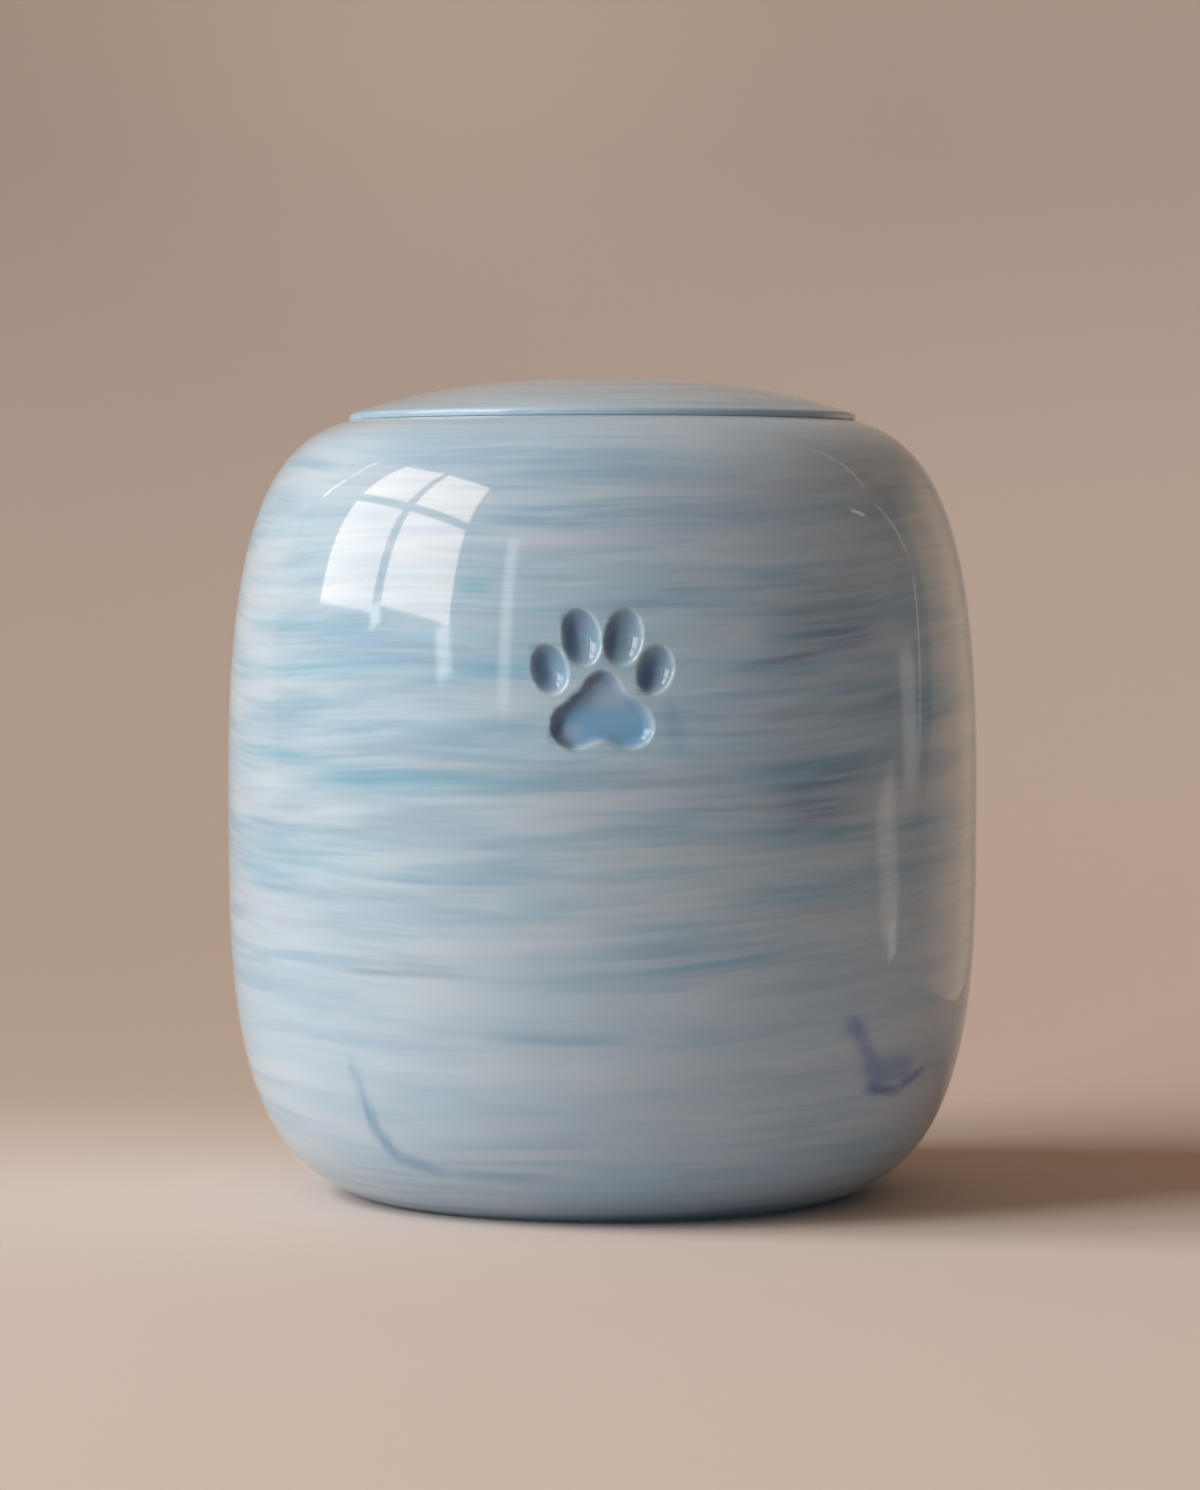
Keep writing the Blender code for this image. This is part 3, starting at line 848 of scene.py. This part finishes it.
def brushed_glaze_group():
    """Watery glaze brushed on in rings: a wash with thin streaks, and how well strokes cover it."""
    tree, given, made = new_group(
        "Brushed glaze",
        [("Vector", "Streak Place"), ("Float", "Waviness"), ("Float", "Contrast"),
         ("Color", "Pale"), ("Color", "Sky"), ("Color", "Blue")],
        [("Color", "Colour"), ("Float", "Cover")])
    stray = calculate(tree, 'SUBTRACT', noise(tree, given["Streak Place"], STRAY_PATCHES, 0.0), 0.5)
    reach = calculate(tree, 'MULTIPLY', given["Waviness"], STRAY_STRENGTH)
    lift = calculate(tree, 'MULTIPLY', stray, reach)
    place = calculate_vector(tree, 'ADD', given["Streak Place"], joined_vector(tree, 0.0, 0.0, lift))
    wash = step_between(tree, noise(tree, place, WASH_PATCHES), *WASH_RANGE)
    blue = step_between(tree, noise(tree, place, BLUE_PATCHES, 3.0), *BLUE_RANGE)
    thin = noise(tree, place, STREAK_PATCHES, 3.0)
    colour = blend(tree, wash, given["Pale"], given["Sky"])
    colour = blend(tree, blue, colour, given["Blue"])
    depth = step_between(tree, wash, 0.0, 1.0, *STREAK_DEPTHS)
    streaks = calculate(tree, 'MULTIPLY', calculate(tree, 'SUBTRACT', thin, 0.5), depth)
    tone = calculate(tree, 'MULTIPLY_ADD', streaks, given["Contrast"], 1.0)
    grey = joined_vector(tree, tone, tone, tone)
    feed(tree, made["Colour"], blend(tree, 1.0, colour, grey, 'MULTIPLY'))
    feed(tree, made["Cover"], step_between(tree, thin, *COVER_RANGE))
    return tree


def finish_group():
    """Glaze, or bare speckled clay where the piece stands or bears and so was wiped clean."""
    tree, given, made = new_group(
        "Glaze or bare clay",
        [("Vector", "Place"), ("Float", "Bare"), ("Float", "Inside"), ("Color", "Glaze"),
         ("Color", "Lining"), ("Color", "Clay"), ("Float", "Glaze Roughness")],
        [("Color", "Colour"), ("Float", "Roughness"), ("Float", "Relief")])
    speck = noise(tree, given["Place"], SPECK_PATCHES, 0.0)
    lining = blend(tree, step_between(tree, speck, *LINING_RANGE), BLACK, given["Lining"])
    clay = blend(tree, step_between(tree, speck, *CLAY_RANGE), given["Clay"], CLAY_SPECK)
    colour = blend(tree, given["Inside"], given["Glaze"], lining)
    feed(tree, made["Colour"], blend(tree, given["Bare"], colour, clay))
    roughness = step_between(tree, given["Bare"], 0.0, 1.0, given["Glaze Roughness"], CLAY_ROUGHNESS)
    feed(tree, made["Roughness"], roughness)
    feed(tree, made["Relief"], noise(tree, given["Place"], RIPPLE_PATCHES, 0.0))
    return tree


def shared_group(name, make):
    """A node group by its name, made the first time that it is asked for."""
    return bpy.data.node_groups.get(name) or make()


def mark(tree, name):
    """The number that was kept per vertex under a name."""
    return add_node(tree, 'ShaderNodeAttribute', attribute_name=name).outputs["Fac"]


def glaze_material(name, settings, pale, contrast):
    """Glossy brushed glaze, with its strokes laid over it and bare clay where it was wiped off."""
    material = bpy.data.materials.new(name)
    material.use_nodes = True
    tree = material.node_tree
    shader = tree.nodes["Principled BSDF"]
    object_place = add_node(tree, 'ShaderNodeTexCoord').outputs["Object"]
    place = use_group(tree, shared_group("Turned place", turned_place_group), {
        "Place": object_place, "Widest Radius": BELLY_RADIUS, "Widest Height": BELLY_HEIGHT,
        "Tilt": (settings.rise, settings.tilt, 0.0)})
    glaze = use_group(tree, shared_group("Brushed glaze", brushed_glaze_group), {
        "Streak Place": place["Streak Place"], "Waviness": settings.waviness, "Contrast": contrast,
        "Pale": pale, "Sky": settings.sky, "Blue": settings.blue})
    in_toes = step_between(tree, mark(tree, "sunk"), *TOE_POOL)
    colour = blend(tree, in_toes, glaze["Colour"], settings.deep)
    colour = blend(tree, mark(tree, "floored"), colour, settings.pooled)
    # The brushwork colours include painted light and painted shade as well as the glaze's strokes
    painted = add_node(tree, 'ShaderNodeAttribute', attribute_name="brushwork")
    cover = step_between(tree, mark(tree, "unstreaked"), 0.0, 1.0, glaze["Cover"], 1.0)
    amount = calculate(tree, 'MULTIPLY', painted.outputs["Alpha"], cover)
    colour = blend(tree, amount, colour, painted.outputs["Color"])
    finish = use_group(tree, shared_group("Glaze or bare clay", finish_group), {
        "Place": object_place, "Bare": mark(tree, "bare"), "Inside": mark(tree, "inside"), "Glaze": colour,
        "Lining": settings.lining, "Clay": settings.clay, "Glaze Roughness": settings.roughness})
    feed(tree, shader.inputs["Base Color"], finish["Colour"])
    feed(tree, shader.inputs["Roughness"], finish["Roughness"])
    feed(tree, shader.inputs["Specular IOR Level"], settings.reflection)
    bump = add_node(tree, 'ShaderNodeBump')
    feed(tree, bump.inputs["Strength"], 1.0)
    feed(tree, bump.inputs["Distance"], settings.unevenness)
    feed(tree, bump.inputs["Height"], finish["Relief"])
    feed(tree, shader.inputs["Normal"], bump.outputs["Normal"])
    return material


class UrnBodyOperator(Operator):
    """Build the hollow body with its paw print and foot ring"""
    bl_idname = "urn.body"
    bl_label = "Urn body"

    def execute(self, context):
        settings = context.scene.urn_body
        hollow = hollow_profile(settings)
        outside = outside_profile(settings)
        print_radius = outer_radius(settings.print_height)
        angles = column_angles(print_radius)
        vertices, faces = turned_mesh(hollow + outside, angles)
        places = np.array(vertices)
        radius = np.hypot(places[:, 0], places[:, 1])
        height = places[:, 2]
        across = np.arctan2(places[:, 0], -places[:, 1]) * print_radius
        up = height - settings.print_height
        order = np.arange(len(places))
        within = (order < (len(hollow) - 1) * len(angles)) | (order == len(places) - 2)
        pad = np.where(within, 0.0, pad_share(across, up, settings))
        toes = np.zeros(len(places))
        for side in (-1, 1):
            for toe in (INNER_TOE, OUTER_TOE):
                toes += np.where(within, 0.0, toe_share(across, up, toe, side, settings))
        shrink = 1 - (pad * settings.pad_depth + toes * settings.toe_depth) / np.maximum(radius, MM)
        places[:, 0] *= shrink
        places[:, 1] *= shrink
        glaze = context.scene.urn_glaze
        material = glaze_material("brushed_body_glaze", glaze, glaze.pale, glaze.contrast)
        body = piece_from("body_glazed", places.tolist(), faces, material, "urn_body")
        seat = (height > SEAT_HEIGHT - SEAT_MARGIN) & (radius < LID_RADIUS)
        foot = ~within & (height < FOOT_ROUND * FOOT_SHARE) & (radius > FOOT_INNER_RADIUS - MM)
        mark_points(body, "sunk", toes)
        mark_points(body, "floored", smooth((pad - PAD_POOL[0]) / (PAD_POOL[1] - PAD_POOL[0])))
        around = np.arctan2(places[:, 0], -places[:, 1]) * BELLY_RADIUS
        drawn = brushwork(around, up, DRAWN_MARKS, glaze)[1]
        mark_points(body, "unstreaked", smooth((pad + toes + drawn) / UNSTREAKED_FROM))
        strokes = scattered_strokes(BODY_SCATTER, glaze)
        # These strokes include painted light round the shoulder and painted shade on the right side and
        # down the print's left walls
        strokes += STROKES_AND_PAINTED_LIGHT + DRAWN_MARKS + PRINT_STROKES_AND_SHADE
        mark_colours(body, "brushwork", *brushwork(around, up, strokes, glaze))
        mark_points(body, "inside", within & ~seat)
        mark_points(body, "bare", seat | foot)
        return {'FINISHED'}


class UrnLidOperator(Operator):
    """Build the low domed lid"""
    bl_idname = "urn.lid"
    bl_label = "Urn lid"

    def execute(self, context):
        settings = context.scene.urn_lid
        profile = lid_profile(settings)
        angles = [2 * pi * column / LID_COLUMNS for column in range(LID_COLUMNS)]
        vertices, faces = turned_mesh(profile, angles)
        places = np.array(vertices)
        radius = np.hypot(places[:, 0], places[:, 1])
        height = places[:, 2]
        glaze = context.scene.urn_glaze
        # The lid's pale is partly painted light: bluer on its upward-facing dome
        material = glaze_material("brushed_lid_glaze", glaze, glaze.lid_pale_and_cool_light, glaze.lid_contrast)
        lid = piece_from("lid_glazed", vertices, faces, material, "lid")
        bearing_top = SEAT_HEIGHT + settings.clearance + BEARING_MARGIN
        inside_top = SEAT_HEIGHT + LID_RISE - settings.thickness / 2
        bearing = (height < bearing_top) & (radius > settings.flange_radius - MM)
        under = (height < inside_top) & (radius < settings.flange_radius + MM)
        above = np.arange(len(places)) < DOME_ROWS * LID_COLUMNS
        for name in ("sunk", "floored", "unstreaked"):
            mark_points(lid, name, np.zeros(len(places)))
        strokes = scattered_strokes(LID_SCATTER, glaze)
        around = np.arctan2(places[:, 0], -places[:, 1]) * BELLY_RADIUS
        mark_colours(lid, "brushwork", *brushwork(around, LID_RADIUS - radius, strokes, glaze))
        mark_points(lid, "inside", under & ~bearing & ~above)
        mark_points(lid, "bare", bearing & ~above)
        return {'FINISHED'}


def add_pane(name, aside, heights, glow, settings):
    """A pane between two places along the window and two heights: an area light and a glow in the glaze."""
    low, high = aside
    width = (high - low) * WINDOW_DISTANCE
    height = (heights[1] - heights[0]) * WINDOW_DISTANCE
    along = (low + high) / 2 * WINDOW_DISTANCE
    light = bpy.data.lights.new(name, 'AREA')
    light.shape = 'RECTANGLE'
    light.size = width
    light.size_y = height
    light.energy = settings.window_light * pi * width * height
    light.color = settings.window_colour
    pane = bpy.data.objects.new(name, light)
    bpy.context.scene.collection.objects.link(pane)
    pane.location = (
        -sin(WINDOW_BEARING) * WINDOW_DISTANCE - cos(WINDOW_BEARING) * along,
        -cos(WINDOW_BEARING) * WINDOW_DISTANCE + sin(WINDOW_BEARING) * along,
        WINDOW_BASE + (heights[0] + heights[1]) / 2 * WINDOW_DISTANCE)
    pane.rotation_euler = (pi / 2, 0, -WINDOW_BEARING)
    pane.visible_camera = False
    pane.visible_glossy = False
    material = gleam_material(name, glow, settings.pane_glow, PANE_SHARPNESS)
    sheet = add_glow_sheet(name + "_glow", width, height, material)
    sheet.location = pane.location
    sheet.rotation_euler = pane.rotation_euler


def gleam_material(name, radiance, colour, sharpness):
    """A soft-edged glow that lets through what is behind it, fading from these shares of its half sizes."""
    material = bpy.data.materials.new(name)
    material.use_nodes = True
    tree = material.node_tree
    tree.nodes.remove(tree.nodes["Principled BSDF"])
    parts = add_node(tree, 'ShaderNodeSeparateXYZ')
    place = add_node(tree, 'ShaderNodeTexCoord').outputs["Generated"]
    centred = calculate_vector(tree, 'SUBTRACT', place, (0.5, 0.5, 0.5))
    feed(tree, parts.inputs[0], calculate_vector(tree, 'ABSOLUTE', centred))
    beside = step_between(tree, parts.outputs[0], sharpness[0] / 2, 0.5, 1.0, 0.0)
    along = step_between(tree, parts.outputs[1], sharpness[1] / 2, 0.5, 1.0, 0.0)
    glow = add_node(tree, 'ShaderNodeEmission')
    fade = calculate(tree, 'MULTIPLY', beside, along)
    feed(tree, glow.inputs["Color"], blend(tree, fade, BLACK, colour))
    feed(tree, glow.inputs["Strength"], radiance)
    both = add_node(tree, 'ShaderNodeAddShader')
    feed(tree, both.inputs[0], glow.outputs[0])
    feed(tree, both.inputs[1], add_node(tree, 'ShaderNodeBsdfTransparent').outputs[0])
    feed(tree, tree.nodes["Material Output"].inputs["Surface"], both.outputs[0])
    material.cycles.emission_sampling = 'NONE'
    return material


def add_glow_sheet(name, width, height, material):
    """A glowing sheet that shows only in the glaze."""
    wide, tall = width / 2, height / 2
    corners = [(-wide, -tall, 0), (wide, -tall, 0), (wide, tall, 0), (-wide, tall, 0)]
    sheet = add_sheet(name, corners, [(0, 1, 2, 3)], material)
    sheet.visible_camera = False
    sheet.visible_diffuse = False
    sheet.visible_shadow = False
    return sheet


def add_gleam(name, ends, width, radiance, colour):
    """A glowing strip between two places that faces the urn and shows only in its glaze."""
    low, high = [
        Vector((-sin(radians(bearing)) * distance, -cos(radians(bearing)) * distance, height))
        for bearing, distance, height in ends]
    along = high - low
    away = (low + high) / 2 - Vector((0.0, 0.0, BELLY_HEIGHT))
    away -= along * away.dot(along) / along.length_squared
    material = gleam_material(name, radiance, colour, GLEAM_SHARPNESS)
    gleam = add_glow_sheet(name, width, along.length, material)
    turned = Matrix((along.cross(away).normalized(), along.normalized(), away.normalized())).transposed()
    gleam.matrix_world = Matrix.Translation((low + high) / 2) @ turned.to_4x4()


def add_window(settings):
    """Four panes of daylight, and the gleams."""
    right = (-WINDOW_HALF_WIDTH, UPRIGHT_BAR[0])
    left = (UPRIGHT_BAR[1], WINDOW_HALF_WIDTH)
    for side, aside, foot, glow in (
            ("right", right, WINDOW_FEET[0], settings.right_pane_glow),
            ("left", left, WINDOW_FEET[1], settings.left_pane_glow)):
        add_pane(side + "_lower_pane", aside, (foot, CROSS_BAR[0]), glow, settings)
        add_pane(side + "_upper_pane", aside, (CROSS_BAR[1], WINDOW_TOP), glow, settings)
    for name, low, high, width, radiance, colour in GLEAMS:
        add_gleam(name, (low, high), width, radiance, getattr(settings, colour))


def paper_material(name, settings):
    """Matt paper: pale by the urn, deeper towards the back, warmer at the top, with painted shade on the
    left and painted light above the urn.
    """
    material = bpy.data.materials.new(name)
    material.use_nodes = True
    tree = material.node_tree
    shader = tree.nodes["Principled BSDF"]
    feed(tree, shader.inputs["Roughness"], PAPER_ROUGHNESS)
    feed(tree, shader.inputs["Specular IOR Level"], 0.0)
    parts = add_node(tree, 'ShaderNodeSeparateXYZ')
    feed(tree, parts.inputs[0], add_node(tree, 'ShaderNodeTexCoord').outputs["Object"])
    x, y, z = parts.outputs
    to_right = step_between(tree, x, *LEFT_TO_RIGHT)
    to_back = step_between(tree, y, *FLOOR_TO_BACK)
    to_top = step_between(tree, z, *LOW_TO_TOP)
    # Painted shade: the paper darker on the left, lighter on the right
    back = blend(tree, to_right, settings.left_shaded_colour, settings.right_colour)
    back = blend(tree, to_top, back, settings.top_tint, 'MULTIPLY')
    # Painted light: the paper lighter in a patch above the urn
    aside = calculate(tree, 'ABSOLUTE', calculate(tree, 'SUBTRACT', x, LIGHT_PATCH_MIDDLE))
    painted_light_patch = step_between(tree, aside, 0.0, LIGHT_PATCH_REACH, settings.painted_light_patch, 0.0)
    lift = calculate(tree, 'MULTIPLY_ADD', painted_light_patch, step_between(tree, z, *LIGHT_PATCH_HEIGHTS), 1.0)
    back = blend(tree, 1.0, back, joined_vector(tree, lift, lift, lift), 'MULTIPLY')
    feed(tree, shader.inputs["Base Color"], blend(tree, to_back, settings.floor_colour, back))
    return material


def seen_from_front(material):
    """Let a sheet be seen from its front only."""
    tree = material.node_tree
    shader = tree.nodes["Principled BSDF"]
    see_through = add_node(tree, 'ShaderNodeBsdfTransparent')
    choose = add_node(tree, 'ShaderNodeMixShader')
    feed(tree, choose.inputs[0], add_node(tree, 'ShaderNodeNewGeometry').outputs["Backfacing"])
    feed(tree, choose.inputs[1], shader.outputs[0])
    feed(tree, choose.inputs[2], see_through.outputs[0])
    feed(tree, tree.nodes["Material Output"].inputs["Surface"], choose.outputs[0])
    return material


def add_sheet(name, vertices, faces, material):
    """A smooth sheet that belongs to the stage."""
    mesh = bpy.data.meshes.new(name)
    mesh.from_pydata(vertices, [], faces)
    mesh.shade_smooth()
    mesh.materials.append(material)
    sheet = bpy.data.objects.new(name, mesh)
    bpy.context.scene.collection.objects.link(sheet)
    return sheet


def add_sweep(settings):
    """The floor, and the paper that curves up behind the urn."""
    profile = []
    for row in range(SWEEP_ROWS + 1):
        turn = pi / 2 * row / SWEEP_ROWS
        profile.append((SWEEP_START + SWEEP_BEND * sin(turn), SWEEP_BEND * (1 - cos(turn))))
    profile.append((SWEEP_START + SWEEP_BEND, SWEEP_TOP))
    vertices = []
    for y, z in profile:
        vertices += [(-SWEEP_HALF_WIDTH, y, z), (SWEEP_HALF_WIDTH, y, z)]
    faces = [(2 * i, 2 * i + 1, 2 * i + 3, 2 * i + 2) for i in range(len(profile) - 1)]
    add_sheet("sweep", vertices, faces, seen_from_front(paper_material("sweep_paper", settings)))
    far = FLOOR_REACH
    corners = [(-far, -far, 0), (far, -far, 0), (far, far, 0), (-far, far, 0)]
    add_sheet("floor", corners, [(0, 1, 2, 3)], paper_material("floor_paper", settings))


def set_room(settings):
    """Dim light from all round: cooler from level with the urn and from the front, warmer from above."""
    world = bpy.data.worlds.new("room")
    bpy.context.scene.world = world
    world.use_nodes = True
    tree = world.node_tree
    direction = add_node(tree, 'ShaderNodeTexCoord').outputs["Generated"]
    parts = add_node(tree, 'ShaderNodeSeparateXYZ')
    feed(tree, parts.inputs[0], direction)
    ahead = add_node(tree, 'ShaderNodeVectorMath', operation='DOT_PRODUCT')
    feed(tree, ahead.inputs[0], direction)
    feed(tree, ahead.inputs[1], (-sin(FRONT_BEARING), -cos(FRONT_BEARING), 0.0))
    high = step_between(tree, parts.outputs[2], *HIGH_ROOM)
    low = step_between(tree, parts.outputs[2], *LOW_ROOM, 1.0, 0.0)
    front = calculate(tree, 'MULTIPLY', low, step_between(tree, ahead.outputs["Value"], *FRONT_ROOM))
    room = blend(tree, high, settings.low_room_colour, settings.high_room_colour)
    room = blend(tree, front, room, settings.front_room_colour)
    feed(tree, tree.nodes["Background"].inputs["Color"], room)


def add_camera(settings):
    """The camera at the photograph's place: a long lens about a metre away."""
    data = bpy.data.cameras.new("camera")
    data.lens = LENS
    camera = bpy.data.objects.new("camera", data)
    camera.location = (CAMERA_ASIDE, -settings.camera_distance, settings.camera_height)
    camera.rotation_euler = (pi / 2 - settings.camera_tilt, 0, 0)
    bpy.context.scene.collection.objects.link(camera)
    bpy.context.scene.camera = camera


class UrnStageOperator(Operator):
    """Set up the floor, the sweep, the window light and the camera"""
    bl_idname = "urn.stage"
    bl_label = "Stage"

    def execute(self, context):
        settings = context.scene.urn_stage
        add_window(settings)
        add_sweep(settings)
        set_room(settings)
        add_camera(settings)
        context.scene.view_settings.view_transform = 'Standard'
        return {'FINISHED'}


class UrnPanel(Panel):
    """The urn's operators and settings"""
    bl_idname = "URN_PT_panel"
    bl_label = "Glazed urn"
    bl_space_type = 'VIEW_3D'
    bl_region_type = 'UI'
    bl_category = "Urn"

    def draw(self, context):
        for operator, group in (
                ("urn.body", "urn_body"), ("urn.lid", "urn_lid"), (None, "urn_glaze"),
                ("urn.stage", "urn_stage")):
            box = self.layout.box()
            settings = getattr(context.scene, group)
            for name in settings.__annotations__:
                box.prop(settings, name)
            if operator:
                box.operator(operator)


CLASSES = (
    UrnBodySettings, UrnLidSettings, UrnGlazeSettings, UrnStageSettings,
    UrnBodyOperator, UrnLidOperator, UrnStageOperator, UrnPanel)


def register():
    """Register the classes and attach the settings to the scene."""
    for item in CLASSES:
        bpy.utils.register_class(item)
    bpy.types.Scene.urn_body = PointerProperty(type=UrnBodySettings)
    bpy.types.Scene.urn_lid = PointerProperty(type=UrnLidSettings)
    bpy.types.Scene.urn_glaze = PointerProperty(type=UrnGlazeSettings)
    bpy.types.Scene.urn_stage = PointerProperty(type=UrnStageSettings)


def unregister():
    """Take the settings and the classes away again."""
    del bpy.types.Scene.urn_stage
    del bpy.types.Scene.urn_glaze
    del bpy.types.Scene.urn_lid
    del bpy.types.Scene.urn_body
    for item in reversed(CLASSES):
        bpy.utils.unregister_class(item)


def main():
    """Build everything."""
    register()
    bpy.ops.urn.stage()
    bpy.ops.urn.body()
    bpy.ops.urn.lid()


if __name__ == "__main__":
    main()
